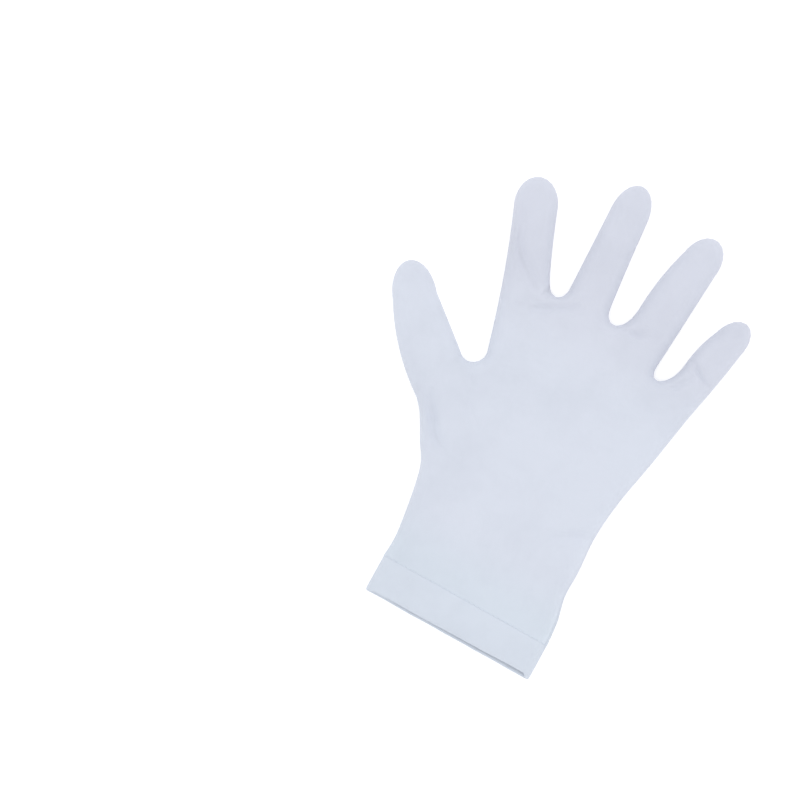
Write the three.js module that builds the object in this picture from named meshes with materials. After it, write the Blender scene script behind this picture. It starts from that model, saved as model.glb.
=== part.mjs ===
// A plain cotton dress glove, laid flat with its palm on the surface: two knitted panels of one outline,
// joined round their edge, and a turned-in double hem round the mouth of the cuff.
// Millimetres: +X across the hand, +Y from the cuff to the fingertips, +Z up.
// The origin is on the surface, under the middle of the glove's box.
import * as THREE from "three";

// Driving sizes, laid flat
const cuffWidth = 92; // across the mouth
const palmWidth = 102; // across the palm at the thumb's crotch
const palmLength = 182; // from the mouth to the middle finger's root
const fingerLength = 62.5; // the middle finger, from its root to its tip
const fingerWidth = 20.8; // the middle finger, across its middle
const hemDepth = 20; // from the mouth to the hem's stitch line

// Walls and clearances
const clothWall = 1; // one layer of knit
const hemWall = 2; // the hem's two layers
const seamGap = 0.3; // between the two panels, and at the stitch line

// Heights above the surface that the glove lies on
const seamHeight = 1.6; // the side seam
const palmHeight = 10; // the back of the palm and of the cuff
const fingerHeight = 8.5; // the back of each finger
const topRound = 7; // how far in from the edge the back rounds over
const baseRound = 4; // how far in from the edge the palm side rounds under
const swellStart = 8; // distance from the edge where the back starts to rise to palmHeight
const swellEnd = 30; // distance from the edge where it gets there
const stitchDip = 0.5; // how deep the stitches pull the back in
const stitchReach = 2.5; // how far along the cloth that pull is felt

// Mesh fineness: where each finger's columns and the hem's rows lie, as shares, and numbers of rows
const rootShares = [0, 0.05, 0.25, 0.5, 0.75, 0.95, 1];
const hemRowShares = [0, 0.72, 0.88, 1];
const stitchRowShare = 0.022; // the palm's first row beyond the stitch line
const crotchColumns = 5;
const hemColumns = 24;
const shaftRows = 7;
const tipRows = 4;
const palmRows = 14;
const rowBunching = 1.9; // above 1 it draws the palm's rows together at the finger roots
const tipShoulder = THREE.MathUtils.degToRad(48); // where a finger's sides hand over to its tip

// The fingers from left to right. Root ends: across as shares of palmWidth, along as shares of
// palmLength. Lean and bend are degrees to the right of straight on. Length and round are shares of
// fingerLength, and middle and tip are half widths as shares of fingerWidth.
const fingerTable = [
  { name: "thumb", leftAcross: -0.685, leftAlong: 0.529, rightAcross: -0.6, rightAlong: 0.694,
    lean: -52.7, bend: 20.3, length: 0.971, middle: 0.663, tip: 0.534, round: 0.296 },
  { name: "index", leftAcross: -0.49, leftAlong: 0.731, rightAcross: -0.386, rightAlong: 0.983,
    lean: -18.1, bend: -4.6, length: 1.152, middle: 0.529, tip: 0.529, round: 0.23 },
  { name: "middle", leftAcross: -0.286, leftAlong: 0.996, rightAcross: -0.066, rightAlong: 1.002,
    lean: -4.1, bend: 1.1, length: 1, middle: 0.5, tip: 0.471, round: 0.256 },
  { name: "ring", leftAcross: 0.058, leftAlong: 1.034, rightAcross: 0.27, rightAlong: 0.924,
    lean: 3.4, bend: 7.6, length: 0.966, middle: 0.548, tip: 0.466, round: 0.224 },
  { name: "little", leftAcross: 0.385, leftAlong: 0.959, rightAcross: 0.553, rightAlong: 0.912,
    lean: 9, bend: 10.9, length: 0.624, middle: 0.452, tip: 0.399, round: 0.214 },
];

// The crotches between the fingers, from left to right: how far each one's curve pulls along the
// finger before it and the finger after it, as shares of fingerWidth
const crotchTable = [
  { before: 0.36, after: 0.25 },
  { before: 0.43, after: 0.35 },
  { before: 0.5, after: 0.7 },
  { before: 0.56, after: 0.62 },
];

// The palm's two sides between the hem line and the root ends of the thumb and little finger.
// Along is a share of the way from the hem line to the middle finger's root, across a share of the width.
const leftSide = [
  { along: 0.087, across: -0.498, of: cuffWidth },
  { along: 0.278, across: -0.5, of: palmWidth },
  { along: 0.359, across: -0.568, of: palmWidth },
  { along: 0.432, across: -0.634, of: palmWidth },
];
const rightSide = [
  { along: 0.078, across: 0.488, of: cuffWidth },
  { along: 0.155, across: 0.459, of: cuffWidth },
  { along: 0.242, across: 0.414, of: palmWidth },
  { along: 0.359, across: 0.405, of: palmWidth },
  { along: 0.485, across: 0.425, of: palmWidth },
  { along: 0.64, across: 0.474, of: palmWidth },
  { along: 0.795, across: 0.518, of: palmWidth },
];

// Dents and folds in the back, each along a line from one place to another: across as shares of
// palmWidth, along as shares of palmLength, half width as a share of fingerWidth, depth of palmHeight
const dentTable = [
  { name: "thumb root", fromAcross: -0.65, fromAlong: 0.584, toAcross: -0.4, toAlong: 0.418,
    width: 0.17, depth: 0.11 },
  { name: "index valley", fromAcross: -0.68, fromAlong: 1.109, toAcross: -0.54, toAlong: 0.992,
    width: 0.12, depth: 0.1 },
  { name: "index base", fromAcross: -0.52, fromAlong: 0.904, toAcross: -0.28, toAlong: 0.943,
    width: 0.13, depth: 0.09 },
  { name: "ring base", fromAcross: 0.06, fromAlong: 0.958, toAcross: 0.25, toAlong: 0.997,
    width: 0.12, depth: 0.08 },
  { name: "little fold", fromAcross: 0.42, fromAlong: 0.985, toAcross: 0.555, toAlong: 0.949,
    width: 0.08, depth: 0.12 },
  { name: "little crotch", fromAcross: 0.35, fromAlong: 0.875, toAcross: 0.43, toAlong: 0.973,
    width: 0.11, depth: 0.09 },
  { name: "wrist side", fromAcross: 0.2, fromAlong: 0.379, toAcross: 0.37, toAlong: 0.428,
    width: 0.14, depth: 0.08 },
];

const cottonWhite = new THREE.Color().setRGB(0.85, 0.873, 0.92, THREE.SRGBColorSpace);
const knit = new THREE.MeshStandardMaterial({ color: cottonWhite, roughness: 0.95, metalness: 0 });

function spot(across, along) {
  return new THREE.Vector2(across, along);
}

// A direction in the plan, in degrees to the right of +Y
function aim(degrees) {
  const angle = THREE.MathUtils.degToRad(degrees);
  return spot(Math.sin(angle), Math.cos(angle));
}

// A unit vector turned to its right
function rightOf(direction) {
  return spot(direction.y, -direction.x);
}

// Shares from 0 to 1 that divide a span into equal steps
function evenShares(steps) {
  return Array.from({ length: steps + 1 }, (_, i) => i / steps);
}

// Shares from 0 to 1 whose steps get smaller towards the end
function slowingShares(steps, power) {
  return evenShares(steps).map((share) => 1 - (1 - share) ** power);
}

// A finger's plan: an axis that bends from lean to lean + bend, half widths along it and a round tip
function planFinger(row) {
  const leftRoot = spot(row.leftAcross * palmWidth, row.leftAlong * palmLength);
  const rightRoot = spot(row.rightAcross * palmWidth, row.rightAlong * palmLength);
  const root = leftRoot.clone().lerp(rightRoot, 0.5);
  const length = row.length * fingerLength;
  const tipLength = row.round * fingerLength;
  const tipHalf = row.tip * fingerWidth;
  const middleHalf = row.middle * fingerWidth;
  const tipStart = length - tipLength;
  const start = aim(row.lean);
  const finish = aim(row.lean + row.bend);

  function place(along, aside) {
    const turned = Math.max(along, 0) ** 2 / length / 2;
    const share = THREE.MathUtils.clamp(along / length, 0, 1);
    const heading = start.clone().lerp(finish, share).normalize();
    const onAxis = root.clone().addScaledVector(start, along - turned).addScaledVector(finish, turned);
    return onAxis.addScaledVector(rightOf(heading), aside);
  }

  function tipPlace(angle) {
    return place(tipStart + tipLength * Math.sin(angle), -tipHalf * Math.cos(angle));
  }

  // The edge on one side, from its root end to the tip's shoulder
  function edge(rootEnd, sign) {
    const offset = rootEnd.clone().sub(root);
    const from = offset.dot(start);
    const rootHalf = sign * offset.dot(rightOf(start));
    const shaft = evenShares(shaftRows).map((share) => {
      const atRoot = rootHalf * (1 - share) * (1 - 2 * share);
      const atMiddle = 4 * middleHalf * share * (1 - share);
      const atTip = tipHalf * share * (2 * share - 1);
      return place(THREE.MathUtils.lerp(from, tipStart, share), sign * (atRoot + atMiddle + atTip));
    });
    const shoulder = slowingShares(tipRows, 2).map((share) => {
      const angle = share * tipShoulder;
      return tipPlace(sign < 0 ? angle : Math.PI - angle);
    });
    return [...shaft, ...shoulder.slice(1)];
  }

  const tip = evenShares(rootShares.length - 1).map((share) =>
    tipPlace(THREE.MathUtils.lerp(tipShoulder, Math.PI - tipShoulder, share)));
  return { leftRoot, rightRoot, left: edge(leftRoot, -1), right: edge(rightRoot, 1), tip };
}

// The round between two fingers: it leaves down the first one's edge and ends up the next one's
function planCrotch(before, after, row) {
  const down = before.right[0].clone().sub(before.right[1]).normalize();
  const up = after.left[0].clone().sub(after.left[1]).normalize();
  const curve = new THREE.CubicBezierCurve(
    before.rightRoot,
    before.rightRoot.clone().addScaledVector(down, row.before * fingerWidth),
    after.leftRoot.clone().addScaledVector(up, row.after * fingerWidth),
    after.leftRoot,
  );
  return curve.getPoints(crotchColumns);
}

// The palm's rows from the hem line to the finger roots, with one close to the stitches
function palmRowShares() {
  return [0, stitchRowShare, ...slowingShares(palmRows, rowBunching).slice(1)];
}

// A side of the palm from the hem line up to a root end, at the palm's rows
function planSide(rows, hemEnd, rootEnd) {
  const through = rows.map((row) =>
    spot(row.across * row.of, THREE.MathUtils.lerp(hemDepth, palmLength, row.along)));
  const curve = new THREE.SplineCurve([hemEnd, ...through, rootEnd]);
  return palmRowShares().map((share) => curve.getPointAt(share));
}

// Points inside four edges: each edge's shape fades out towards the edge across from it
function fillPatch(bottom, top, left, right, columnShares, rowShares) {
  const last = bottom.length - 1;
  return rowShares.map((v, row) =>
    columnShares.map((u, column) => {
      const point = bottom[column].clone().multiplyScalar(1 - v).addScaledVector(top[column], v);
      point.addScaledVector(left[row], 1 - u).addScaledVector(right[row], u);
      point.addScaledVector(bottom[0], -(1 - u) * (1 - v)).addScaledVector(bottom[last], -u * (1 - v));
      return point.addScaledVector(top[0], -(1 - u) * v).addScaledVector(top[last], -u * v);
    }));
}

const fingers = fingerTable.map(planFinger);
const crotches = crotchTable.map((row, i) => planCrotch(fingers[i], fingers[i + 1], row));
const cuffLeft = spot(-cuffWidth / 2, 0);
const cuffRight = spot(cuffWidth / 2, 0);
const hemLeft = spot(-cuffWidth / 2, hemDepth);
const hemRight = spot(cuffWidth / 2, hemDepth);

// The palm's columns along the hem line, closer together at its ends
function hemShares(steps) {
  return evenShares(steps).map((share) => (share + (1 - Math.cos(Math.PI * share)) / 2) / 2);
}

// The plan of one panel: points, and the cells between them as corner numbers anticlockwise from above.
// It also lists the cut edges, which are the outline, and the open edge at the hem line.
function planPanel() {
  const points = [];
  const cells = [];

  function addPoint(point) {
    points.push(point);
    return points.length - 1;
  }

  function addCells(grid) {
    for (let row = 0; row + 1 < grid.length; row += 1) {
      for (let column = 0; column + 1 < grid[row].length; column += 1) {
        const [a, b] = [grid[row][column], grid[row][column + 1]];
        const [c, d] = [grid[row + 1][column + 1], grid[row + 1][column]];
        cells.push([a, b, c, d]);
      }
    }
  }

  const top = [];
  fingers.forEach((finger, i) => {
    rootShares.forEach((share) => top.push(finger.leftRoot.clone().lerp(finger.rightRoot, share)));
    if (i < crotches.length) {
      top.push(...crotches[i].slice(1, -1));
    }
  });
  const shares = hemShares(top.length - 1);
  const bottom = shares.map((share) => hemLeft.clone().lerp(hemRight, share));
  const left = planSide(leftSide, hemLeft, fingers[0].leftRoot);
  const right = planSide(rightSide, hemRight, fingers.at(-1).rightRoot);
  const palm = fillPatch(bottom, top, left, right, shares, palmRowShares());
  const palmGrid = palm.map((row) => row.map(addPoint));
  addCells(palmGrid);

  const shaftShare = shaftRows / (shaftRows + 1);
  const fingerRowShares = [
    ...evenShares(shaftRows).map((share) => share * shaftShare),
    ...slowingShares(tipRows, 2).slice(1).map((share) => THREE.MathUtils.lerp(shaftShare, 1, share)),
  ];
  fingers.forEach((finger, i) => {
    const first = i * (rootShares.length - 1 + crotchColumns);
    const rootRow = palmGrid.at(-1).slice(first, first + rootShares.length);
    const rootPoints = rootRow.map((corner) => points[corner]);
    const filled = fillPatch(rootPoints, finger.tip, finger.left, finger.right, rootShares, fingerRowShares);
    addCells([rootRow, ...filled.slice(1).map((row) => row.map(addPoint))]);
  });
  return { points, cells, hemRow: new Set(palmGrid[0]) };
}

// The edges that only one cell has, each with the cells on its left
function openEdges(cells) {
  const seen = new Map();
  for (const cell of cells) {
    cell.forEach((a, i) => {
      const b = cell[(i + 1) % cell.length];
      if (!seen.delete(b + "," + a)) {
        seen.set(a + "," + b, [a, b]);
      }
    });
  }
  return [...seen.values()];
}

const plan = planPanel();
const edges = openEdges(plan.cells);
const outline = edges
  .filter(([a, b]) => !(plan.hemRow.has(a) && plan.hemRow.has(b)))
  .map(([a, b]) => [plan.points[a], plan.points[b]]);
outline.push([hemLeft, cuffLeft], [cuffRight, hemRight]);

function distanceToSegment(point, [a, b]) {
  const along = b.clone().sub(a);
  const share = THREE.MathUtils.clamp(point.clone().sub(a).dot(along) / along.lengthSq(), 0, 1);
  return point.distanceTo(a.clone().addScaledVector(along, share));
}

function distanceToOutline(point) {
  return Math.min(...outline.map((segment) => distanceToSegment(point, segment)));
}

// A quarter round: 0 at the edge, 1 from the given reach inwards
function roundOver(distance, reach) {
  const left = 1 - Math.min(distance / reach, 1);
  return Math.sqrt(1 - left * left);
}

const dents = dentTable.map((row) => ({
  line: [
    spot(row.fromAcross * palmWidth, row.fromAlong * palmLength),
    spot(row.toAcross * palmWidth, row.toAlong * palmLength),
  ],
  width: row.width * fingerWidth,
  depth: row.depth * palmHeight,
}));

function dentDepth(point) {
  return dents.reduce((sum, dent) => {
    const away = distanceToSegment(point, dent.line) / dent.width;
    return sum + dent.depth * Math.exp(-(away ** 2));
  }, 0);
}

// The back panel's edge, and the palm panel's under it
const seamTop = seamHeight + seamGap / 2;
const seamBase = seamHeight - seamGap / 2;

// The outside of the back above a place in the plan
function backHeight(point) {
  const distance = distanceToOutline(point);
  const swell = THREE.MathUtils.smoothstep(distance, swellStart, swellEnd);
  const full = THREE.MathUtils.lerp(fingerHeight, palmHeight, swell);
  const stitched = stitchDip * Math.exp(-(((point.y - hemDepth) / stitchReach) ** 2));
  const crown = full - dentDepth(point) - stitched;
  return seamTop + (crown - seamTop) * roundOver(distance, topRound);
}

// The outside of the palm side, which is flat where it rests
function baseHeight(point) {
  return seamBase * (1 - roundOver(distanceToOutline(point), baseRound));
}

// A closed wall from its outer and inner points: cells on both faces and a rim along the open edges
function closeWall(outer, inner, cells, rimEdges) {
  const corners = [];
  const count = outer.length;

  function addCell([a, b, c, d]) {
    corners.push(a, b, c, a, c, d);
  }

  cells.forEach((cell) => {
    addCell(cell);
    addCell([...cell].reverse().map((corner) => corner + count));
  });
  rimEdges.forEach(([a, b]) => addCell([b, a, a + count, b + count]));
  const geometry = new THREE.BufferGeometry().setFromPoints([...outer, ...inner]);
  geometry.setIndex(corners);
  geometry.computeVertexNormals();
  return geometry;
}

// The way out of the cloth at each point, averaged over the cells that meet there
function outwardNormals(points, cells) {
  const normals = points.map(() => new THREE.Vector3());
  cells.forEach(([a, b, c, d]) => {
    const across = points[c].clone().sub(points[a]);
    const normal = across.cross(points[d].clone().sub(points[b]));
    [a, b, c, d].forEach((corner) => normals[corner].add(normal));
  });
  return normals;
}

// One panel: its outside at the given height, and its inside one layer of cloth further in,
// on its own side of the seam. Side is 1 above the seam and -1 below it.
function makePanel(name, height, side) {
  const cells = side > 0 ? plan.cells : plan.cells.map((cell) => [...cell].reverse());
  const stitchLine = hemDepth + seamGap / 2;
  const outer = plan.points.map((point, i) =>
    new THREE.Vector3(point.x, plan.hemRow.has(i) ? stitchLine : point.y, height(point)));
  const normals = outwardNormals(outer, cells);
  const atSeam = new Map();
  edges.forEach(([a, b]) => {
    if (plan.hemRow.has(a) && plan.hemRow.has(b)) {
      return;
    }
    const out = rightOf(plan.points[b].clone().sub(plan.points[a]).normalize());
    [a, b].forEach((corner) => atSeam.set(corner, (atSeam.get(corner) ?? spot(0, 0)).add(out)));
  });
  atSeam.forEach((out, corner) => normals[corner].set(out.x, out.y, 0));
  plan.hemRow.forEach((corner) => normals[corner].setY(0));
  const rim = side > 0 ? seamTop : -seamBase;
  const inner = outer.map((point, i) => {
    const inside = point.clone().addScaledVector(normals[i].normalize(), -clothWall);
    return inside.setZ(side * Math.max(side * inside.z, rim));
  });
  const panel = new THREE.Mesh(closeWall(outer, inner, cells, openEdges(cells)), knit);
  panel.name = name;
  return panel;
}

// The hem: a flattened ring of double cloth from the mouth to the stitch line, flush with the panels.
// Inside, its two layers meet at the sides without crossing.
function makeHem() {
  const shares = hemShares(hemColumns);
  const stitchLine = hemDepth - seamGap / 2;
  const rows = hemRowShares.map((share) => share * stitchLine);
  const outer = [];
  const inner = [];
  rows.forEach((along) => {
    const across = shares.map((share) => spot(THREE.MathUtils.lerp(cuffLeft.x, cuffRight.x, share), along));
    const back = across.map((point) => new THREE.Vector3(point.x, along, backHeight(point)));
    const base = across.map((point) => new THREE.Vector3(point.x, along, baseHeight(point)));
    const ring = [...back, ...base.reverse()];
    outer.push(...ring);
    ring.forEach((point, i) => {
      const before = ring.at(i - 1);
      const after = ring[(i + 1) % ring.length];
      const first = rightOf(spot(point.x - before.x, point.z - before.z).normalize());
      const second = rightOf(spot(after.x - point.x, after.z - point.z).normalize());
      const inward = first.add(second).normalize();
      const height = point.z + inward.y * hemWall;
      const kept = i < back.length ? Math.max(height, hemWall + seamGap) : Math.min(height, hemWall);
      inner.push(new THREE.Vector3(point.x + inward.x * hemWall, along, kept));
    });
  });
  const size = 2 * shares.length;
  const cells = [];
  for (let row = 0; row + 1 < rows.length; row += 1) {
    for (let i = 0; i < size; i += 1) {
      const next = (i + 1) % size;
      cells.push([row * size + i, row * size + next, (row + 1) * size + next, (row + 1) * size + i]);
    }
  }
  const hem = new THREE.Mesh(closeWall(outer, inner, cells, openEdges(cells)), knit);
  hem.name = "cuff_hem";
  return hem;
}

const glove = new THREE.Group();
glove.add(makePanel("back_panel", backHeight, 1));
glove.add(makePanel("palm_panel", baseHeight, -1));
glove.add(makeHem());
const reach = new THREE.Box2().setFromPoints(outline.flat());
const middle = reach.getCenter(spot(0, 0));
glove.position.set(-middle.x, -middle.y, 0);

export default glove;
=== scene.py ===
import math

import bpy
import numpy as np
from mathutils import Matrix, Vector, kdtree, noise


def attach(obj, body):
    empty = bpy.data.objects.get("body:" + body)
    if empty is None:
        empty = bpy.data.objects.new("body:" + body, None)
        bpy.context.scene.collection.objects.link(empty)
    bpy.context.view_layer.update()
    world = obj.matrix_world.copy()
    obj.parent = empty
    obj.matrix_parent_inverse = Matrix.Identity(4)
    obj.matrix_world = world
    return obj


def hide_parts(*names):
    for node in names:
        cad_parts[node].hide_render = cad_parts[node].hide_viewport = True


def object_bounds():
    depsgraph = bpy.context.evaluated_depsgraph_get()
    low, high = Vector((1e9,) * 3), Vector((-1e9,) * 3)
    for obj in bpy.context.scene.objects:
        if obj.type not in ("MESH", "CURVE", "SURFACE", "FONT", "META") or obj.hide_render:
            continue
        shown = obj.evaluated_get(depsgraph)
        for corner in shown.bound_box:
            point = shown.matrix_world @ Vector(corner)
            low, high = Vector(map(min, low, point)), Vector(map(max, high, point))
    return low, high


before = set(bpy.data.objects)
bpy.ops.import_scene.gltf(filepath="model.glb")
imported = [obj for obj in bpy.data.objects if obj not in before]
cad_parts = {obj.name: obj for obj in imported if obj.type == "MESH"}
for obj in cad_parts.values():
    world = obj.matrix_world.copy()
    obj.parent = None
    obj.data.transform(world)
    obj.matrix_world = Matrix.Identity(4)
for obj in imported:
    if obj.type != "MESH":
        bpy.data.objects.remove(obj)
cadBox = [list(corner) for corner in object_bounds()]
mm = 0.001
print("frame loaded")


# The camera looks down on the glove from the cuff's side of the picture
view = {
    "lens": 100.0,
    "sensor": 36.0,
    "across": 0.3979,  # metres of surface from side to side of the frame
    "aimAt": (-0.0527, -0.0312, 0.004),
    "turn": 29.01,  # degrees that the fingers point to the right of the frame's up
    "elevation": 85.0,
    "clip": (0.01, 20),
}


def addCamera(settings):
    data = bpy.data.cameras.new("camera")
    data.lens = settings["lens"]
    data.sensor_width = settings["sensor"]
    camera = bpy.data.objects.new("camera", data)
    bpy.context.scene.collection.objects.link(camera)
    turn = math.radians(settings["turn"])
    rise = math.radians(settings["elevation"])
    frameUp = Vector((-math.sin(turn), math.cos(turn), 0))
    back = -frameUp * math.cos(rise) + Vector((0, 0, math.sin(rise)))
    right = Vector((math.cos(turn), math.sin(turn), 0))
    up = back.cross(right)
    distance = settings["across"] * settings["lens"] / settings["sensor"]
    turned = Matrix((right, up, back)).transposed().to_4x4()
    turned.translation = Vector(settings["aimAt"]) + back * distance
    camera.matrix_world = turned
    data.clip_start, data.clip_end = settings["clip"]
    bpy.context.scene.camera = camera


addCamera(view)
print("camera placed")


# The glove's cut, in millimetres from the middle of the cuff's mouth, across the hand
# and towards the fingertips
cut = {
    "cuffWidth": 92.0,
    "palmWidth": 102.0,
    "palmLength": 182.0,
    "fingerLength": 62.5,
    "fingerWidth": 20.8,
    "hemDepth": 20.0,
    "tipShoulder": math.radians(48),  # where on the round tip a finger's sides end
    "tangentStep": 1 / 7,  # a crotch sets off in line with this share of a finger's side
    "rootJoin": 1 / 8,  # the share of a side that bends to meet its root
    "toFrame": (23.667, -122.098),  # from the cuff's mouth to the frame's origin
}
halfCuff = cut["cuffWidth"] / 2

# Root ends as shares of the palm, lean and bend in degrees to the right, the rest as shares
# of a finger
fingerCuts = [
    {"root": (-0.685, 0.529, -0.6, 0.694), "lean": -52.7, "bend": 20.3, "length": 0.971,
     "middle": 0.663, "tip": 0.534, "round": 0.296},
    {"root": (-0.49, 0.731, -0.386, 0.983), "lean": -18.1, "bend": -4.6, "length": 1.152,
     "middle": 0.529, "tip": 0.529, "round": 0.23},
    {"root": (-0.286, 0.996, -0.066, 1.002), "lean": -4.1, "bend": 1.1, "length": 1.0,
     "middle": 0.5, "tip": 0.471, "round": 0.256},
    {"root": (0.058, 1.034, 0.27, 0.924), "lean": 3.4, "bend": 7.6, "length": 0.966,
     "middle": 0.548, "tip": 0.466, "round": 0.224},
    {"root": (0.385, 0.959, 0.553, 0.912), "lean": 9.0, "bend": 10.9, "length": 0.624,
     "middle": 0.452, "tip": 0.399, "round": 0.214},
]

# How far each crotch's curve runs on along its two fingers, in widths of a finger
crotchPulls = [(0.36, 0.25), (0.43, 0.35), (0.5, 0.7), (0.56, 0.62)]

# The palm's sides from the hem line up: share of the way, share of the width, and which width
leftSide = [(0.087, -0.498, "cuffWidth"), (0.278, -0.5, "palmWidth"), (0.359, -0.568, "palmWidth"),
            (0.432, -0.634, "palmWidth")]
rightSide = [(0.078, 0.488, "cuffWidth"), (0.155, 0.459, "cuffWidth"), (0.242, 0.414, "palmWidth"),
             (0.359, 0.405, "palmWidth"), (0.485, 0.425, "palmWidth"), (0.64, 0.474, "palmWidth"),
             (0.795, 0.518, "palmWidth")]

# How finely the plan is divided
fineness = {
    "fingerColumns": 22,
    "crotchColumns": 16,
    "shaftRows": 72,
    "tipRows": 14,
    "tipSpan": 4,  # the tip's rows take up as much as this many rows of the shaft
    "palmRows": 140,
    "rowBunching": 1.3,  # above 1 the palm's rows lie closer together towards the fingers
    "sideSteps": 1600,
    "easings": 300,
    "easeShare": 0.9,
}


def aim(degrees):
    angle = math.radians(degrees)
    return np.array([math.sin(angle), math.cos(angle)])


def rightOf(direction):
    return np.array([direction[1], -direction[0]])


def unit(vector):
    return vector / np.linalg.norm(vector)


def unitRows(rows):
    return rows / np.maximum(np.linalg.norm(rows, axis=1), 1e-12)[:, None]


def evenShares(steps):
    return np.linspace(0, 1, steps + 1)


def edgedShares(steps):  # closer together at both ends
    even = evenShares(steps)
    return 0.45 * even + 0.55 * (1 - np.cos(np.pi * even)) / 2


def slowingShares(steps, power):
    return 1 - (1 - evenShares(steps)) ** power


# The outline of one finger: its sides from the roots up, and its round tip
def planFinger(row):
    width, length = cut["palmWidth"], cut["palmLength"]
    leftRoot = np.array([row["root"][0] * width, row["root"][1] * length])
    rightRoot = np.array([row["root"][2] * width, row["root"][3] * length])
    root = (leftRoot + rightRoot) / 2
    reach = row["length"] * cut["fingerLength"]
    tipLength = row["round"] * cut["fingerLength"]
    tipHalf = row["tip"] * cut["fingerWidth"]
    middleHalf = row["middle"] * cut["fingerWidth"]
    tipStart = reach - tipLength
    start, finish = aim(row["lean"]), aim(row["lean"] + row["bend"])

    def place(along, aside):  # along the finger's bent middle line, and to its right
        turned = max(along, 0) ** 2 / reach / 2
        share = min(max(along / reach, 0), 1)
        heading = unit(start * (1 - share) + finish * share)
        return root + start * (along - turned) + finish * turned + rightOf(heading) * aside

    def tipPlace(angle):
        return place(tipStart + tipLength * math.sin(angle), -tipHalf * math.cos(angle))

    def shaftPlace(rootEnd, sign, share):
        offset = rootEnd - root
        begin = offset @ start
        rootHalf = sign * (offset @ rightOf(start))
        # half the width runs smoothly through its values at the root, the middle and the tip
        half = rootHalf * (1 - share) * (1 - 2 * share)
        half += 4 * middleHalf * share * (1 - share) + tipHalf * share * (2 * share - 1)
        return place(begin + (tipStart - begin) * share, sign * half)

    def edge(rootEnd, sign):
        shares = evenShares(fineness["shaftRows"])
        shaft = [shaftPlace(rootEnd, sign, share) for share in shares]
        missing = rootEnd - shaft[0]
        bends = np.maximum(1 - shares / cut["rootJoin"], 0) ** 2
        shaft = [spot + missing * bend for spot, bend in zip(shaft, bends)]
        angles = slowingShares(fineness["tipRows"], 2)[1:] * cut["tipShoulder"]
        return np.array(shaft + [tipPlace(a if sign < 0 else math.pi - a) for a in angles])

    shoulder = cut["tipShoulder"]
    tipShares = edgedShares(fineness["fingerColumns"])
    tip = [tipPlace(shoulder + (math.pi - 2 * shoulder) * share) for share in tipShares]
    return {
        "leftRoot": leftRoot,
        "rightRoot": rightRoot,
        "left": edge(leftRoot, -1),
        "right": edge(rightRoot, 1),
        "leftOut": unit(leftRoot - shaftPlace(leftRoot, -1, cut["tangentStep"])),
        "rightOut": unit(rightRoot - shaftPlace(rightRoot, 1, cut["tangentStep"])),
        "tip": np.array(tip),
    }


# The curve from one finger's root to the next one's
def planCrotch(before, after, pulls):
    a, d = before["rightRoot"], after["leftRoot"]
    b = a + before["rightOut"] * pulls[0] * cut["fingerWidth"]
    c = d + after["leftOut"] * pulls[1] * cut["fingerWidth"]
    t = evenShares(fineness["crotchColumns"])[:, None]
    return (1 - t) ** 3 * a + 3 * (1 - t) ** 2 * t * b + 3 * (1 - t) * t ** 2 * c + t ** 3 * d


# A smooth side of the palm through the rows of a table
def planSide(rows, hemEnd, rootEnd, shares):
    through = [hemEnd]
    for along, across, width in rows:
        y = cut["hemDepth"] + (cut["palmLength"] - cut["hemDepth"]) * along
        through.append(np.array([across * cut[width], y]))
    through.append(rootEnd)
    knots = np.array([through[0], *through, through[-1]])
    t = np.linspace(0, len(through) - 1, fineness["sideSteps"])
    i = np.minimum(t.astype(int), len(through) - 2)
    w = (t - i)[:, None]
    p0, p1, p2, p3 = (knots[i + k] for k in range(4))
    v0, v1 = (p2 - p0) / 2, (p3 - p1) / 2
    bend = 3 * p2 - 3 * p1 - 2 * v0 - v1
    line = (2 * p1 - 2 * p2 + v0 + v1) * w ** 3 + bend * w ** 2 + v0 * w + p1
    run = np.r_[0, np.cumsum(np.linalg.norm(np.diff(line, axis=0), axis=1))]
    return np.stack([np.interp(shares * run[-1], run, line[:, k]) for k in (0, 1)], axis=1)


# A grid of points stretched between its four sides
def fillPatch(bottom, top, left, right, columnShares, rowShares):
    u, v = columnShares[None, :, None], rowShares[:, None, None]
    grid = (1 - v) * bottom[None] + v * top[None] + (1 - u) * left[:, None] + u * right[:, None]
    grid -= (1 - u) * (1 - v) * bottom[0] + u * (1 - v) * bottom[-1]
    return grid - (1 - u) * v * top[0] - u * v * top[-1]


# Evens out a patch inside its outline, so that no cell folds over another beside a crotch
def easePatch(grid):
    for _ in range(fineness["easings"]):
        up, down, left, right = grid[2:, 1:-1], grid[:-2, 1:-1], grid[1:-1, :-2], grid[1:-1, 2:]
        across, along = (right - left) / 2, (up - down) / 2
        a = (along * along).sum(2)[:, :, None]
        c = (across * across).sum(2)[:, :, None]
        b = (across * along).sum(2)[:, :, None]
        corners = grid[2:, 2:] - grid[2:, :-2] - grid[:-2, 2:] + grid[:-2, :-2]
        eased = (a * (left + right) + c * (up + down) - b * corners / 2) / (2 * (a + c))
        grid[1:-1, 1:-1] += fineness["easeShare"] * (eased - grid[1:-1, 1:-1])
    return grid


def gridCells(grid):
    corners = [grid[:-1, :-1], grid[:-1, 1:], grid[1:, 1:], grid[1:, :-1]]
    return np.stack([corner.ravel() for corner in corners], axis=1)


def cellSides(cells):
    return np.concatenate([cells[:, [i, (i + 1) % 4]] for i in range(4)])


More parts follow.
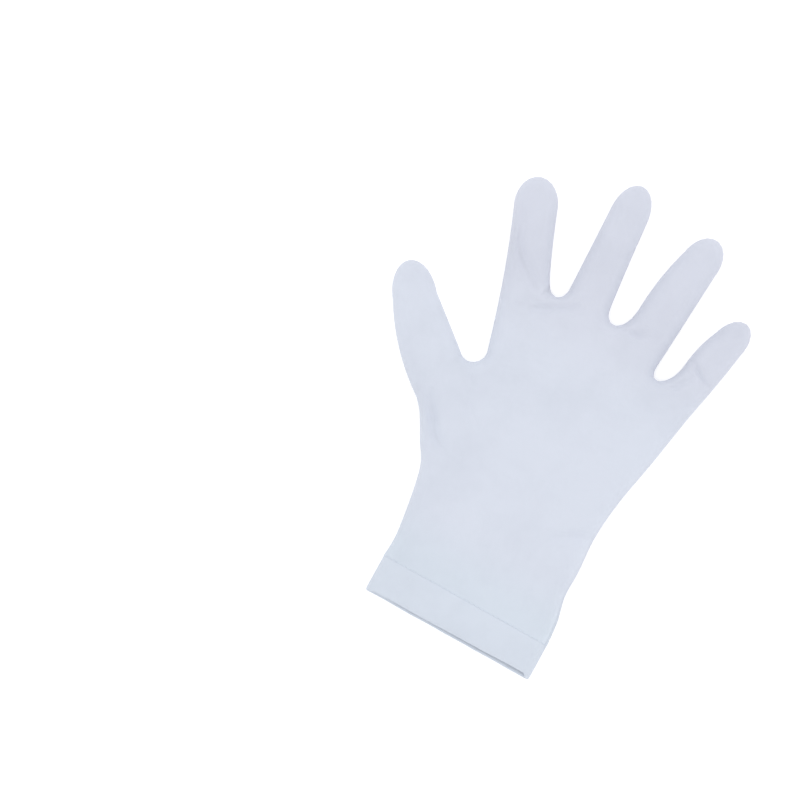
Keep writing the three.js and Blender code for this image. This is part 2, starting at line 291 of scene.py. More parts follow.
def planPalm(fingers, crotches, rootShares):
    hemLeft = np.array([-halfCuff, cut["hemDepth"]])
    hemRight = hemLeft * (-1, 1)
    top = []
    for i, finger in enumerate(fingers):
        top += [finger["leftRoot"] * (1 - s) + finger["rightRoot"] * s for s in rootShares]
        if i < len(crotches):
            top += list(crotches[i][1:-1])
    top = np.array(top)
    even = evenShares(len(top) - 1)
    shares = (even + (1 - np.cos(np.pi * even)) / 2) / 2
    rowShares = slowingShares(fineness["palmRows"], fineness["rowBunching"])
    bottom = hemLeft + (hemRight - hemLeft) * shares[:, None]
    left = planSide(leftSide, hemLeft, fingers[0]["leftRoot"], rowShares)
    right = planSide(rightSide, hemRight, fingers[-1]["rightRoot"], rowShares)
    return easePatch(fillPatch(bottom, top, left, right, shares, rowShares))


# The flat plan of a panel: its points, its cells, and the points along the hem line
def planPanel():
    fingers = [planFinger(row) for row in fingerCuts]
    crotches = [planCrotch(*fingers[i:i + 2], pulls) for i, pulls in enumerate(crotchPulls)]
    rootShares = edgedShares(fineness["fingerColumns"])
    palm = planPalm(fingers, crotches, rootShares)
    points = list(palm.reshape(-1, 2))
    palmGrid = np.arange(len(points)).reshape(palm.shape[:2])
    cells = [gridCells(palmGrid)]
    shaftShare = fineness["shaftRows"] / (fineness["shaftRows"] + fineness["tipSpan"])
    fingerRows = np.r_[
        evenShares(fineness["shaftRows"]) * shaftShare,
        shaftShare + (1 - shaftShare) * slowingShares(fineness["tipRows"], 2)[1:],
    ]
    step = len(rootShares) - 1 + fineness["crotchColumns"]
    for i, finger in enumerate(fingers):
        rootRow = palmGrid[-1, i * step:i * step + len(rootShares)]
        bottom = np.array([points[k] for k in rootRow])
        sides = (bottom, finger["tip"], finger["left"], finger["right"])
        filled = easePatch(fillPatch(*sides, rootShares, fingerRows))
        first = len(points)
        points += list(filled[1:].reshape(-1, 2))
        grid = np.arange(first, len(points)).reshape(len(fingerRows) - 1, -1)
        cells.append(gridCells(np.vstack([rootRow, grid])))
    return np.array(points), np.concatenate(cells), set(palmGrid[0])


def openLoop(cells):  # the edges that one cell has alone, in order round the panel
    held = {(a, b) for a, b in cellSides(cells).tolist()}
    following = {a: b for a, b in held if (b, a) not in held}
    first = min(following)
    loop = [first]
    while following[loop[-1]] != first:
        loop.append(following[loop[-1]])
    return np.array(loop)


planPoints, planCells, hemRow = planPanel()
planLoop = openLoop(planCells)
sewn = [k for k in planLoop if k not in hemRow]
rightCorner = planLoop[planLoop.tolist().index(sewn[0]) - 1]
cuffEnds = np.array([[halfCuff, 0], [-halfCuff, 0]])
outline = np.vstack([cuffEnds[:1], planPoints[[rightCorner, *sewn, min(hemRow)]], cuffEnds[1:]])
outlineRun = np.r_[0, np.cumsum(np.linalg.norm(np.diff(outline, axis=0), axis=1))]
outlineTree = kdtree.KDTree(len(outline))
for i, (x, y) in enumerate(outline):
    outlineTree.insert((x, y, 0), i)
outlineTree.balance()
print("plan laid out:", len(planPoints), "points,", round(outlineRun[-1]), "mm of outline")


# For each point the nearest place on the outline, how far away that is, and how far along
def nearestOnOutline(points):
    nearest = np.array([outlineTree.find((x, y, 0))[1] for x, y in points])
    found = np.empty_like(points)
    distance = np.full(len(points), np.inf)
    along = np.empty(len(points))
    for back in (2, 1, 0, -1):
        first = np.clip(nearest - back, 0, len(outline) - 2)
        step = outline[first + 1] - outline[first]
        share = ((points - outline[first]) * step).sum(1) / (step * step).sum(1)
        share = np.clip(share, 0, 1)[:, None]
        near = outline[first] + step * share
        away = np.linalg.norm(points - near, axis=1)
        closer = away < distance
        found[closer], distance[closer] = near[closer], away[closer]
        run = outlineRun[first] + (outlineRun[first + 1] - outlineRun[first]) * share[:, 0]
        along[closer] = run[closer]
    return found, distance, along


# How the cloth stands above the surface, in millimetres
lie = {
    "seamHeight": 1.6,
    "seamGap": 0.3,
    "palmHeight": 10.0,
    "fingerHeight": 8.5,
    "topRound": 6.0,
    "baseRound": 4.0,
    "swell": (8.0, 30.0),
    "clothWall": 1.0,
    "rimLean": 0.06,  # the turned edge leans this far towards the side seam
    "hemWall": 2.0,
    "stitchDip": 0.15,
    "stitchReach": 3.0,
    "rolling": (0.28, 34.0, 3.1),  # height, size and seed of the long soft waves in the cloth
    "rumple": (0.1, 11.0, 7.7),
    "underside": (0.12, 16.0, 1.3),
    "calmEdge": 12.0,  # the waves die away this near to the outline
    "pucker": (0.1, 3.2, 2.2),  # depth, pitch along the side seam, and reach into the cloth
    "foldShape": 1.6,  # how steeply a fold's sides drop
    "easings": 2,
    "ease": (0.4, 0.6),  # a point's own share of its eased height, and its neighbours'
}

# Folds in the back: places along each, in millimetres, with the depth there, and half its width
folds = [
    {"at": "thumb root", "width": 2.9,
     "line": [(-70.9, 104.3, 1.2), (-64.8, 98.3, 3.8), (-59.2, 92.1, 4.3), (-55.0, 86.0, 3.7),
              (-50.1, 81.8, 2.1), (-43.8, 78.4, 0.5)]},
    {"at": "left of the index finger", "width": 1.6,
     "line": [(-69.2, 201.4, 0.5), (-66.6, 196.6, 2.7), (-63.6, 190.7, 3.9), (-61.2, 185.8, 3.9),
              (-58.4, 182.8, 1.9), (-54.2, 180.5, 0.2)]},
    {"at": "down to the middle finger's crotch", "width": 2.3,
     "line": [(-61.1, 185.0, 0.3), (-57.8, 181.6, 1.5), (-53.9, 179.2, 2.3), (-50.0, 176.2, 1.9),
              (-45.6, 173.5, 1.9), (-41.9, 172.4, 2.2), (-37.4, 171.6, 1.7)]},
    {"at": "foot of the index finger", "width": 2.2,
     "line": [(-62.0, 155.7, 0.4), (-47.1, 161.6, 1.3), (-37.7, 165.1, 1.9), (-28.8, 169.5, 2.0),
              (-19.4, 173.6, 0.6)]},
    {"at": "left of the ring crotch", "width": 1.5,
     "line": [(-7.5, 170.7, 0.2), (-3.0, 170.9, 0.9), (0.6, 171.7, 0.4)]},
    {"at": "foot of the ring finger", "width": 1.8,
     "line": [(4.1, 174.7, 0.9), (9.9, 175.8, 2.2), (14.6, 177.7, 2.0), (25.0, 181.7, 0.5)]},
    {"at": "across the little finger", "width": 1.3,
     "line": [(41.3, 178.8, 0.6), (45.7, 175.0, 1.4), (50.1, 172.3, 1.4), (55.4, 170.0, 0.8)]},
    {"at": "round the little crotch", "width": 1.5,
     "line": [(36.4, 159.6, 0.6), (39.4, 162.0, 1.8), (42.0, 165.9, 2.2), (44.5, 170.2, 2.0),
              (45.0, 175.6, 0.9)]},
    {"at": "under the thumb crotch", "width": 1.5,
     "line": [(-52.9, 123.8, 0.8), (-51.3, 118.4, 0.9), (-48.2, 113.3, 0.3)]},
    {"at": "below the thumb crotch", "width": 1.6,
     "line": [(-51.8, 112.5, 0.2), (-44.8, 106.0, 0.4), (-35.9, 97.2, 0.25)]},
    {"at": "side of the wrist", "width": 1.7,
     "line": [(20.0, 62.4, 0.2), (23.4, 67.7, 0.8), (28.9, 72.2, 1.5), (35.2, 75.2, 1.8),
              (39.7, 76.5, 1.6)]},
    {"at": "seam rolled up beside the wrist", "width": 0.9,
     "line": [(44.7, 2.0, 1.2), (44.7, 20.0, 2.4), (43.6, 32.6, 2.6), (41.0, 45.1, 2.2),
              (40.9, 59.2, 1.6), (40.0, 78.2, 1.3), (42.1, 98.6, 1.0), (46.9, 123.7, 0.6)]},
]


def foldDepth(points, fold):
    deepest = np.zeros(len(points))
    line = np.array(fold["line"])
    for a, b in zip(line[:-1], line[1:]):
        step = b[:2] - a[:2]
        share = np.clip(((points - a[:2]) @ step) / (step @ step), 0, 1)
        away = np.linalg.norm(points - a[:2] - share[:, None] * step, axis=1)
        depth = a[2] + (b[2] - a[2]) * share
        shape = np.exp(-((away / fold["width"]) ** lie["foldShape"]))
        deepest = np.maximum(deepest, depth * shape)
    return deepest


def waves(points, size, seed):
    return np.array([noise.noise(Vector((x / size, y / size, seed))) for x, y in points])


def smoothStep(value, low, high):
    share = np.clip((value - low) / (high - low), 0, 1)
    return share * share * (3 - 2 * share)


# How high the back of the glove stands over its flat plan
def crownHeight(points, distance):
    swell = smoothStep(distance, *lie["swell"])
    full = lie["fingerHeight"] + (lie["palmHeight"] - lie["fingerHeight"]) * swell
    fromStitches = (points[:, 1] - cut["hemDepth"]) / lie["stitchReach"]
    full -= lie["stitchDip"] * np.exp(-(fromStitches ** 2))
    for fold in folds:
        full -= foldDepth(points, fold)
    inner = smoothStep(distance, 0, lie["calmEdge"])
    height, size, seed = lie["rolling"]
    full += inner * (height * waves(points, size, seed) - height)
    height, size, seed = lie["rumple"]
    return full + inner * height * waves(points, size, seed)


planNearest = nearestOnOutline(planPoints)


# Eases the crossings of folds, with the outline left as it is
def easeHeight(height, cells):
    pairs = np.unique(np.sort(cellSides(cells), axis=1), axis=0)
    a, b = np.concatenate([pairs, pairs[:, ::-1]]).T
    neighbours = np.bincount(a, minlength=len(height))
    inside = np.ones(len(height), bool)
    inside[planLoop] = False
    own, shared = lie["ease"]
    for _ in range(lie["easings"]):
        around = np.bincount(a, height[b], len(height))
        height = np.where(inside, own * height + shared * around / neighbours, height)
    return height


# A side is 1 for the back of the glove and -1 for the palm side
def seamLevel(side):
    return lie["seamHeight"] + side * lie["seamGap"] / 2


def roundReach(side):
    return lie["topRound"] if side > 0 else lie["baseRound"]


# The turn of the cloth from the side seam to its flat part, and where that brings each point
def roundOver(distance, side):
    reach = roundReach(side)
    angle = np.minimum(distance / reach, 1) * np.pi / 2
    return angle, np.where(distance < reach, reach * (1 - np.cos(angle)), distance)


# Puts flat points of a panel where the cloth lies
def layCloth(points, side):
    near, distance, along = planNearest
    angle, pulled = roundOver(distance, side)
    toward = (points - near) / np.maximum(distance, 1e-9)[:, None]
    placed = near + toward * pulled[:, None]
    seam = seamLevel(side)
    if side > 0:
        crown = easeHeight(crownHeight(placed, distance), planCells)
        height = seam + (crown - seam) * np.sin(angle)
    else:
        rise, size, seed = lie["underside"]
        height = seam * (1 - np.sin(angle))
        height += rise * np.maximum(waves(points, size, seed), 0) * np.sin(angle)
    depth, pitch, into = lie["pucker"]
    pucker = depth * np.cos(2 * np.pi * along / pitch) * np.exp(-((distance / into) ** 2))
    placed = placed + toward * (pucker * (distance > 0.01))[:, None]
    return np.column_stack([placed, np.maximum(height, 0)]), distance


def vertexNormals(points, cells):
    across = points[cells[:, 2]] - points[cells[:, 0]]
    normal = np.cross(across, points[cells[:, 3]] - points[cells[:, 1]])
    total = np.zeros_like(points)
    for k in range(4):
        np.add.at(total, cells[:, k], normal)
    return total / np.maximum(np.linalg.norm(total, axis=1), 1e-12)[:, None]


def addPiece(name, mesh):
    mesh.polygons.foreach_set("use_smooth", np.ones(len(mesh.polygons), bool))
    mesh.update()
    piece = bpy.data.objects.new(name, mesh)
    bpy.context.scene.collection.objects.link(piece)
    return piece


# A smooth piece whose flat places in the cloth go with it, in units of 100 mm
def makeMesh(name, points, cells, clothPlaces):
    mesh = bpy.data.meshes.new(name)
    shifted = (points + (*cut["toFrame"], 0)) * mm
    mesh.from_pydata(shifted.tolist(), [], cells.tolist())
    uv = mesh.uv_layers.new(name="cloth")
    corners = np.empty(len(mesh.loops), np.int32)
    mesh.loops.foreach_get("vertex_index", corners)
    uv.data.foreach_set("uv", (clothPlaces[corners] * 0.01).astype(np.float32).ravel())
    return addPiece(name, mesh)


# Where the panels' ends lie over the hem's folded end, in millimetres
hemLap = {
    "lip": 0.2,  # the panel's edge reaches this far past the stitch line
    "lipDepth": 0.1,
    "lipOut": 0.02,
    "tuck": 0.55,  # and the hem's end this far in under the panel
    "clear": 0.06,  # and the panel's inside begins this far beyond that
    # the small steps between the hem's outside and its tucked end
    "edgeRound": 0.22,
    "tuckRound": 0.3,
    "tuckClear": (0.08, 0.04),
    "shoulder": (0.03, 0.06),
}


def clothFacing(outer, cells, onHem, hemPoints):
    normals = vertexNormals(outer, cells)
    flatLoop = planPoints[planLoop]
    out = unitRows(np.roll(flatLoop, -1, axis=0) - np.roll(flatLoop, 1, axis=0))
    sideways = np.column_stack([out[:, 1], -out[:, 0], np.zeros(len(planLoop))])
    normals[planLoop[~onHem]] = sideways[~onHem]
    normals[hemPoints, 1] = 0
    return unitRows(normals)


# Where the points were before the cloth was rounded over to the seam, as a quarter turn
# is longer than its reach by about a half
def flatPlaces(distance, side):
    reach = roundReach(side)
    spare = 0.5 * reach * np.clip(1 - distance / reach, 0, 1)
    outward = (planNearest[0] - planPoints) / np.maximum(distance, 1e-9)[:, None]
    return planPoints + outward * spare[:, None]


# A panel of knit with its own thickness, turned in round the side seam
def makePanel(name, side):
    outer, distance = layCloth(planPoints, side)
    hemPoints = np.array(sorted(hemRow))
    onHem = np.array([k in hemRow for k in planLoop])
    outer[hemPoints, 1] = cut["hemDepth"] - hemLap["lip"]
    cells = planCells if side > 0 else planCells[:, ::-1]
    normals = clothFacing(outer, cells, onHem, hemPoints)
    inner = outer - normals * lie["clothWall"]
    inner[hemPoints, 1] = cut["hemDepth"] + hemLap["tuck"] + hemLap["clear"]
    inner[:, 2] = side * np.maximum(side * inner[:, 2], side * seamLevel(side))
    order = planLoop if side > 0 else planLoop[::-1]
    endsHere = (onHem if side > 0 else onHem[::-1])[:, None]
    lip = outer[order] - normals[order] * hemLap["lipDepth"] + (0, hemLap["lipOut"], 0)
    turned = (outer[order] + inner[order]) / 2 + (0, 0, -lie["rimLean"] * side)
    points = np.vstack([outer, inner, np.where(endsHere, lip, turned)])
    count = len(outer)
    rimRow = np.arange(2 * count, 2 * count + len(order))
    nextRim, following = np.roll(rimRow, -1), np.roll(order, -1)
    rimCells = np.vstack([
        np.column_stack([following, order, rimRow, nextRim]),
        np.column_stack([nextRim, rimRow, order + count, following + count]),
    ])
    allCells = np.vstack([cells, cells[:, ::-1] + count, rimCells])
    flat = flatPlaces(distance, side)
    piece = makeMesh(name, points, allCells, np.vstack([flat, flat, flat[order]]))
    hemEdge = set(hemPoints.tolist())
    crisp = [all(v in hemEdge for v in edge.vertices) for edge in piece.data.edges]
    piece.data.attributes.new("sharp_edge", "BOOLEAN", "EDGE").data.foreach_set("value", crisp)
    a, b, c, d = (outer[cells[:, k]] for k in range(4))
    area = np.linalg.norm(np.cross(c - a, d - b), axis=1).sum() / 2
    return piece, area * mm * mm


backPiece, backArea = makePanel("back_of_glove", 1)
palmPiece, palmArea = makePanel("palm_of_glove", -1)
print("panels made:", round(backArea, 4), "and", round(palmArea, 4), "square metres")


# The hem: the cuff's end turned inside, with a flat fold at the mouth and a row of stitches
# at its other end
hem = {
    "columns": 400,
    "rows": 28,
    "mouthRows": 10,
    "ringSteps": 240,
    "mouthRound": 1.5,  # how far up from the mouth the hem's fold begins to turn
    "lowerBack": 0.5,  # the mouth's lower lip lies this far inside the cut's end
    "setBack": 2.1,  # and the upper lip this far inside the lower one
    "setBackRise": (1.0, 1.0),  # begins this far above the seam, ends this far below the top
    "setBackTurn": 0.08,  # and fades out over this share of the way in from the corners
    "setBackSkew": (0.75, 0.25),  # a little less at the left than at the right
    "fadeOut": 8.0,  # the hem is straight again this far up from its mouth
    "puff": 0.35,
    "mouthDrop": 0.9,  # the cloth sinks this much towards the mouth
    "sinkShape": 1.6,
    "wander": (0.25, 14.0, 5.2),  # how far the mouth's edge strays, over what size, and a seed
    "sideGroove": (0.35, 0.7),  # depth and width of the side seam's groove
    "stitchPitch": 2.7,
    "stitchLength": 2.1,
    "stitchPlaces": 1400,
    "stitchSteps": 7,
    "stitchArch": (0.03, 0.33),  # how far a stitch stands out, and how far its ends dive from there
    "stitchUp": 0.05,
    "threadRound": 0.21,
    "threadSides": 6,
    "threadEnd": 0.35,
}


# The shape of the cuff all the way round, at one height above its mouth
def cuffRing(y, columns):
    steps = np.linspace(0, halfCuff, hem["ringSteps"])
    xs = np.r_[-halfCuff + steps, (halfCuff - steps)[::-1][1:]]
    distance = halfCuff - np.abs(xs)
    sign = np.sign(xs)

    def profile(side):
        angle, pulled = roundOver(distance, side)
        seam = seamLevel(side)
        across = sign * (halfCuff - pulled)
        if side > 0:
            crown = crownHeight(np.column_stack([across, np.full(len(xs), y)]), distance)
            height = seam + (crown - seam) * np.sin(angle)
            share = min(max(y / cut["hemDepth"], 0), 1)
            sink = hem["mouthDrop"] * (1 - share) ** hem["sinkShape"]
            sink -= hem["puff"] * math.sin(math.pi * share ** hem["sinkShape"])
            height -= sink * np.sin(angle)
        else:
            height = seam * (1 - np.sin(angle))
        return np.column_stack([across, height])

    ring = np.vstack([profile(1), profile(-1)[::-1]])
    ring = np.vstack([ring, ring[:1]])
    run = np.r_[0, np.cumsum(np.linalg.norm(np.diff(ring, axis=0), axis=1))]
    at = np.arange(columns) / columns * run[-1]
    placed = np.column_stack([np.interp(at, run, ring[:, k]) for k in (0, 1)])
    tangent = np.roll(placed, -1, axis=0) - np.roll(placed, 1, axis=0)
    inward = unitRows(np.column_stack([tangent[:, 1], -tangent[:, 0]]))
    # the side seam runs on through the hem as a groove
    sides = [0.0, run[len(xs) - 1], run[-1]]
    fromSeam = np.min([np.abs(at - s) for s in sides], axis=0)
    depth, width = hem["sideGroove"]
    groove = depth * np.exp(-((fromSeam / width) ** 2))
    return placed + inward * groove[:, None], inward, run[-1]


# Down the hem's outside, round the mouth, up inside, and back over the tucked end:
# how far up each row of points lies, and how deep in
def hemProfile():
    end, wall = cut["hemDepth"], lie["hemWall"]
    lip, tuck = hemLap["lip"], hemLap["tuck"]
    rows = np.linspace(end - lip - hemLap["edgeRound"], hem["mouthRound"], hem["rows"])
    profile = [(y, 0.0) for y in rows]
    for angle in np.linspace(0, np.pi, hem["mouthRows"])[1:-1]:
        y = hem["mouthRound"] * (1 - math.sin(angle))
        profile.append((y, wall / 2 * (1 - math.cos(angle))))
    profile += [(y, wall) for y in rows[::-1]]
    below, above = hemLap["tuckClear"]
    profile += [(end + tuck, wall - hemLap["tuckRound"]), (end + tuck, wall / 2 + below)]
    down, deeper = hemLap["shoulder"]
    y, depth = end - lip - down, hemLap["lipDepth"] + deeper
    for share in (0.66, 0.33, 0):
        profile.append((y + (end + tuck - y) * share, depth + (wall / 2 + above - depth) * share))
    return profile


# How far a ring's points lie back from where the cuff was cut
def mouthStray(ring):
    height, size, seed = hem["wander"]
    stray = height * waves(np.column_stack([ring[:, 0], ring[:, 1] * 3]), size, seed)
    fromCorner = 1 - np.abs(ring[:, 0]) / halfCuff
    above, below = hem["setBackRise"]
    upper = smoothStep(ring[:, 1], lie["seamHeight"] + above, lie["fingerHeight"] - below)
    upper *= smoothStep(fromCorner, 0, hem["setBackTurn"])
    level, skew = hem["setBackSkew"]
    stray += hem["lowerBack"] + hem["setBack"] * upper * (level + skew * ring[:, 0] / halfCuff)
    return stray


def makeHem():
    points = []
    places = []
    profile = hemProfile()
    for y, depth in profile:
        ring, inward, around = cuffRing(y, hem["columns"])
        back = y + mouthStray(ring) * max(1 - y / hem["fadeOut"], 0)
        placed = ring + inward * depth
        points.append(np.column_stack([placed[:, 0], back, np.maximum(placed[:, 1], 0)]))
        turn = np.arange(hem["columns"]) / hem["columns"] * around
        up = y if depth < lie["hemWall"] / 2 else -y
        places.append(np.column_stack([turn, np.full(len(turn), up)]))
    grid = np.arange(len(profile) * hem["columns"]).reshape(len(profile), hem["columns"])
    grid = np.vstack([grid, grid[:1]])
    grid = np.hstack([grid, grid[:, :1]])
    return makeMesh("cuff_hem_fold", np.vstack(points), gridCells(grid), np.vstack(places))


# A short thread along a line, with closed ends
def makeThread(line, up):
    heading = unitRows(np.gradient(line, axis=0))
    aside = unitRows(np.cross(heading, up))
    over = np.cross(aside, heading)
    sides, end = hem["threadSides"], hem["threadEnd"]
    turns = np.arange(sides) / sides * 2 * np.pi
    ring = np.cos(turns)[None, :, None] * aside[:, None]
    ring += np.sin(turns)[None, :, None] * over[:, None]
    taper = np.sin(np.linspace(end, np.pi - end, len(line))) ** end
    points = (line[:, None] + ring * (hem["threadRound"] * taper)[:, None, None]).reshape(-1, 3)
    grid = np.arange(len(line) * sides).reshape(len(line), sides)
    cells = gridCells(np.hstack([grid, grid[:, :1]]))
    return points, cells, [grid[0][::-1].tolist(), grid[-1].tolist()]


def joinThreads(name, threads):
    mesh = bpy.data.meshes.new(name)
    points, faces, start = [], [], 0
    for verts, cells, caps in threads:
        points.append(verts)
        faces += (cells[:, ::-1] + start).tolist()
        faces += [[k + start for k in cap[::-1]] for cap in caps]
        start += len(verts)
    points = (np.vstack(points) + (*cut["toFrame"], 0)) * mm
    mesh.from_pydata(points.tolist(), [], faces)
    return addPiece(name, mesh)


def makeHemStitches():
    columns, count = hem["stitchPlaces"], hem["stitchSteps"]
    ring, inward, around = cuffRing(cut["hemDepth"], columns)
    total = int(around / hem["stitchPitch"])
    out, dive = hem["stitchArch"]
    lift = out - dive * np.abs(np.linspace(-1, 1, count)) ** 3
    line = np.full((count, 3), cut["hemDepth"] - hemLap["lip"] + hem["stitchUp"])
    threads = []
    for i in range(total):
        middle = (i + 0.5) / total * columns
        reach = hem["stitchLength"] / 2 / around * columns
        at = np.linspace(middle - reach, middle + reach, count).astype(int) % columns
        line[:, [0, 2]] = ring[at] - inward[at] * lift[:, None]
        threads.append(makeThread(line, (0, 1, 0)))
    return joinThreads("hem_stitches", threads)


hemPiece = makeHem()
stitchPiece = makeHemStitches()
print("hem and its stitches made")


# Soft white light from all round over a pale floor, a little stronger from beyond the fingertips
studio = {
    "floorSize": 4.0,
    "floorDrop": 0.0002,
    "floorColour": (0.75, 0.75, 0.75),
    "floorRoughness": 0.9,
    "floorSpecular": 0.1,
    "floorGlow": 0.37,  # the surface is a light table
    "sky": (1.0, 1.0, 1.0, 1.1),
    "lights": [
        {"name": "key", "place": (-0.1, 1.05, 1.5), "size": 1.1, "power": 2.6},
    ],
}


def addFloor(settings):
    size = settings["floorSize"] / 2
    corners = [(-size, -size, 0), (size, -size, 0), (size, size, 0), (-size, size, 0)]
    mesh = bpy.data.meshes.new("floor")
    mesh.from_pydata(corners, [], [(0, 1, 2, 3)])
    floor = bpy.data.objects.new("floor", mesh)
    floor.location = (0, 0, cadBox[0][2] - settings["floorDrop"])
    bpy.context.scene.collection.objects.link(floor)
    paint = bpy.data.materials.new("floorPaint")
    paint.use_nodes = True
    shader = paint.node_tree.nodes["Principled BSDF"]
    shader.inputs["Base Color"].default_value = (*settings["floorColour"], 1)
    shader.inputs["Roughness"].default_value = settings["floorRoughness"]
    shader.inputs["Specular IOR Level"].default_value = settings["floorSpecular"]
    shader.inputs["Emission Color"].default_value = (1, 1, 1, 1)
    shader.inputs["Emission Strength"].default_value = settings["floorGlow"]
    mesh.materials.append(paint)


def addStudio(settings):
    addFloor(settings)
    world = bpy.data.worlds.new("studio")
    world.use_nodes = True
    back = world.node_tree.nodes["Background"]
    back.inputs["Color"].default_value = (*settings["sky"][:3], 1)
    back.inputs["Strength"].default_value = settings["sky"][3]
    bpy.context.scene.world = world
    for row in settings["lights"]:
        data = bpy.data.lights.new(row["name"], "AREA")
        data.size = row["size"]
        data.energy = row["power"]
        lamp = bpy.data.objects.new(row["name"], data)
        lamp.location = row["place"]
        toOrigin = -Vector(row["place"])
        lamp.rotation_euler = toOrigin.to_track_quat("-Z", "Y").to_euler()
        bpy.context.scene.collection.objects.link(lamp)
    bpy.context.scene.view_settings.view_transform = "Standard"
    bpy.context.scene.view_settings.look = "None"


addStudio(studio)
print("studio lit")


# Cotton: fine loops of knit, a soft uneven surface and a faint drift of colour
cotton = {
    "colour": (0.648, 0.686, 0.776),
    "shade": (0.61, 0.647, 0.735),
    # tones along the hand, from the cuff's mouth to the fingertips, in metres: a faint tint at the
    # hem, and painted shade that makes the fingers darker than the palm
    "tonesWithShade": [(-0.100, (0.962, 0.993, 0.985)), (-0.068, (1.0, 1.0, 1.0)), (0.012, (1.0, 1.0, 1.0)),
              (0.062, (0.963, 0.946, 0.953))],
    "drift": (0.3, 0.6),  # the range of the noise that goes from shade to colour
    "roughness": 0.92,
    "specular": 0.25,
    "sheen": 0.08,
    "sheenRoughness": 0.6,
    "wale": 0.0075,  # the width of one column of loops, in the cloth's own units of 100 mm
    "course": 0.006,
    "loopHeight": 0.00006,
    "fluffHeight": 0.00012,
    "hemTint": (1.01, 1.0, 1.003),
    "threadTint": (1.05, 1.05, 1.05),
}


def newGroup(name, inputs, outputs):
    group = bpy.data.node_groups.new(name, "ShaderNodeTree")
    for label, kind, value in inputs:
        socket = group.interface.new_socket(label, in_out="INPUT", socket_type=kind)
        if value is not None:
            socket.default_value = value
    for label, kind in outputs:
        group.interface.new_socket(label, in_out="OUTPUT", socket_type=kind)
    return group, group.nodes.new("NodeGroupInput"), group.nodes.new("NodeGroupOutput")


def mathNode(tree, operation, first, second=None, third=None):
    node = tree.nodes.new("ShaderNodeMath")
    node.operation = operation
    for socket, value in zip(node.inputs, (first, second, third)):
        if value is None:
            continue
        if isinstance(value, (int, float)):
            socket.default_value = value
        else:
            tree.links.new(value, socket)
    return node.outputs[0]


# Columns of V-shaped loops from flat cloth coordinates
def knitLoops():
    group, given, result = newGroup(
        "knitLoops",
        [("Cloth", "NodeSocketVector", None), ("Wale", "NodeSocketFloat", 0.0075),
         ("Course", "NodeSocketFloat", 0.006)],
        [("Height", "NodeSocketFloat")],
    )
    parts = group.nodes.new("ShaderNodeSeparateXYZ")
    group.links.new(given.outputs["Cloth"], parts.inputs[0])
    column = mathNode(group, "DIVIDE", parts.outputs[0], given.outputs["Wale"])
    row = mathNode(group, "DIVIDE", parts.outputs[1], given.outputs["Course"])
    across = mathNode(group, "PINGPONG", column, 0.5)
    slanted = mathNode(group, "ADD", row, across)
    legs = mathNode(group, "SINE", mathNode(group, "MULTIPLY", slanted, 2 * math.pi))
    groove = mathNode(group, "SINE", mathNode(group, "MULTIPLY", across, 2 * math.pi))
    height = mathNode(group, "MULTIPLY_ADD", legs, 0.3, groove)  # the columns show most
    group.links.new(height, result.inputs["Height"])
    return group


# Broad and fine unevenness of soft cotton, for tone and for height
def clothDrift():
    group, given, result = newGroup(
        "clothDrift",
        [("Place", "NodeSocketVector", None), ("Broad", "NodeSocketFloat", 26.0),
         ("Fine", "NodeSocketFloat", 420.0)],
        [("Tone", "NodeSocketFloat"), ("Fluff", "NodeSocketFloat")],
    )
    for label, detail, rough, output in (
        ("Broad", 5.0, 0.68, "Tone"),
        ("Fine", 4.0, 0.65, "Fluff"),
    ):
        field = group.nodes.new("ShaderNodeTexNoise")
        field.inputs["Detail"].default_value = detail
        field.inputs["Roughness"].default_value = rough
        group.links.new(given.outputs["Place"], field.inputs["Vector"])
        group.links.new(given.outputs[label], field.inputs["Scale"])
        group.links.new(field.outputs["Fac"], result.inputs[output])
    return group


loopGroup = knitLoops()
driftGroup = clothDrift()


def mixNode(tree, blend):
    node = tree.nodes.new("ShaderNodeMix")
    node.data_type = "RGBA"
    node.blend_type = blend
    return node


def spanNode(tree, value, low, high):
    node = tree.nodes.new("ShaderNodeMapRange")
    node.inputs["From Min"].default_value = low
    node.inputs["From Max"].default_value = high
    tree.links.new(value, node.inputs["Value"])
    return node.outputs["Result"]


# The tone at each place along the hand, with painted shade darkening the fingers
def handTonesAndShade(tree, place, stops):
    first, last = stops[0][0], stops[-1][0]
    parts = tree.nodes.new("ShaderNodeSeparateXYZ")
    tree.links.new(place, parts.inputs[0])
    tonesWithShade = tree.nodes.new("ShaderNodeValToRGB")
    tonesWithShade.color_ramp.interpolation = "EASE"
    elements = tonesWithShade.color_ramp.elements
    while len(elements) < len(stops):
        elements.new(0.5)
    for element, (y, tone) in zip(elements, stops):
        element.position = (y - first) / (last - first)
        element.color = (*tone, 1)
    tree.links.new(spanNode(tree, parts.outputs["Y"], first, last), tonesWithShade.inputs["Fac"])
    return tonesWithShade.outputs["Color"]


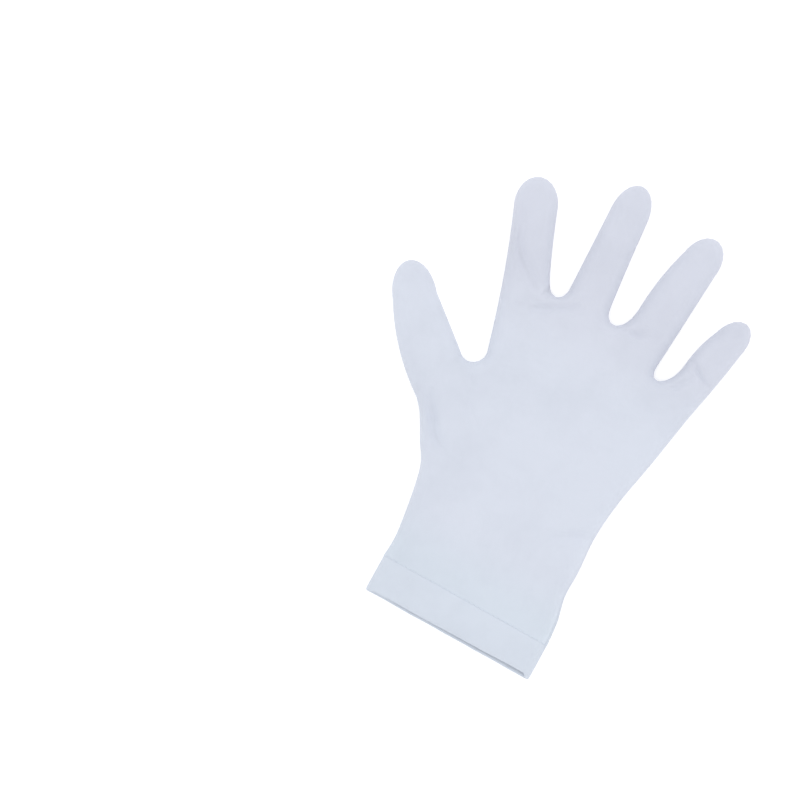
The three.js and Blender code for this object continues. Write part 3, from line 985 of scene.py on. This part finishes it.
def knitMaterial(name, settings, tint=(1, 1, 1)):
    material = bpy.data.materials.new(name)
    material.use_nodes = True
    tree = material.node_tree
    shader = tree.nodes["Principled BSDF"]
    shader.inputs["Roughness"].default_value = settings["roughness"]
    shader.inputs["Specular IOR Level"].default_value = settings["specular"]
    shader.inputs["Sheen Weight"].default_value = settings["sheen"]
    shader.inputs["Sheen Roughness"].default_value = settings["sheenRoughness"]
    cloth = tree.nodes.new("ShaderNodeUVMap")
    cloth.uv_map = "cloth"
    place = tree.nodes.new("ShaderNodeTexCoord").outputs["Object"]
    loops = tree.nodes.new("ShaderNodeGroup")
    loops.node_tree = loopGroup
    loops.inputs["Wale"].default_value = settings["wale"]
    loops.inputs["Course"].default_value = settings["course"]
    tree.links.new(cloth.outputs[0], loops.inputs["Cloth"])
    drift = tree.nodes.new("ShaderNodeGroup")
    drift.node_tree = driftGroup
    tree.links.new(place, drift.inputs["Place"])
    colour = mixNode(tree, "MIX")
    for socket, key in (("A", "shade"), ("B", "colour")):
        tinted = [c * t for c, t in zip(settings[key], tint)]
        colour.inputs[socket].default_value = (*tinted, 1)
    spread = spanNode(tree, drift.outputs["Tone"], *settings["drift"])
    tree.links.new(spread, colour.inputs["Factor"])
    toned = mixNode(tree, "MULTIPLY")
    toned.inputs["Factor"].default_value = 1
    tree.links.new(colour.outputs["Result"], toned.inputs["A"])
    # painted shade: the tones along the hand make the fingers darker than the palm
    tree.links.new(handTonesAndShade(tree, place, settings["tonesWithShade"]), toned.inputs["B"])
    tree.links.new(toned.outputs["Result"], shader.inputs["Base Color"])
    bump = tree.nodes.new("ShaderNodeBump")
    bump.inputs["Distance"].default_value = 1.0
    bump.inputs["Strength"].default_value = 1.0
    raised = mathNode(tree, "MULTIPLY", loops.outputs["Height"], settings["loopHeight"])
    height = mathNode(tree, "MULTIPLY_ADD", drift.outputs["Fluff"], settings["fluffHeight"], raised)
    tree.links.new(height, bump.inputs["Height"])
    tree.links.new(bump.outputs["Normal"], shader.inputs["Normal"])
    return material


panelKnit = knitMaterial("gloveKnit", cotton)
hemKnit = knitMaterial("hemKnit", cotton, cotton["hemTint"])
thread = knitMaterial("sewingThread", cotton, cotton["threadTint"])
for piece, material, slot, nodes in (
    (backPiece, panelKnit, "knit", ["back_panel"]),
    (palmPiece, panelKnit, "knit", ["palm_panel"]),
    (hemPiece, hemKnit, "hem_knit", ["cuff_hem"]),
    (stitchPiece, thread, "hem_knit", []),
):
    piece.data.materials.append(material)
    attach(piece, "root")
    if nodes:
        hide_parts(*nodes)
print("materials on, pieces on the frame")
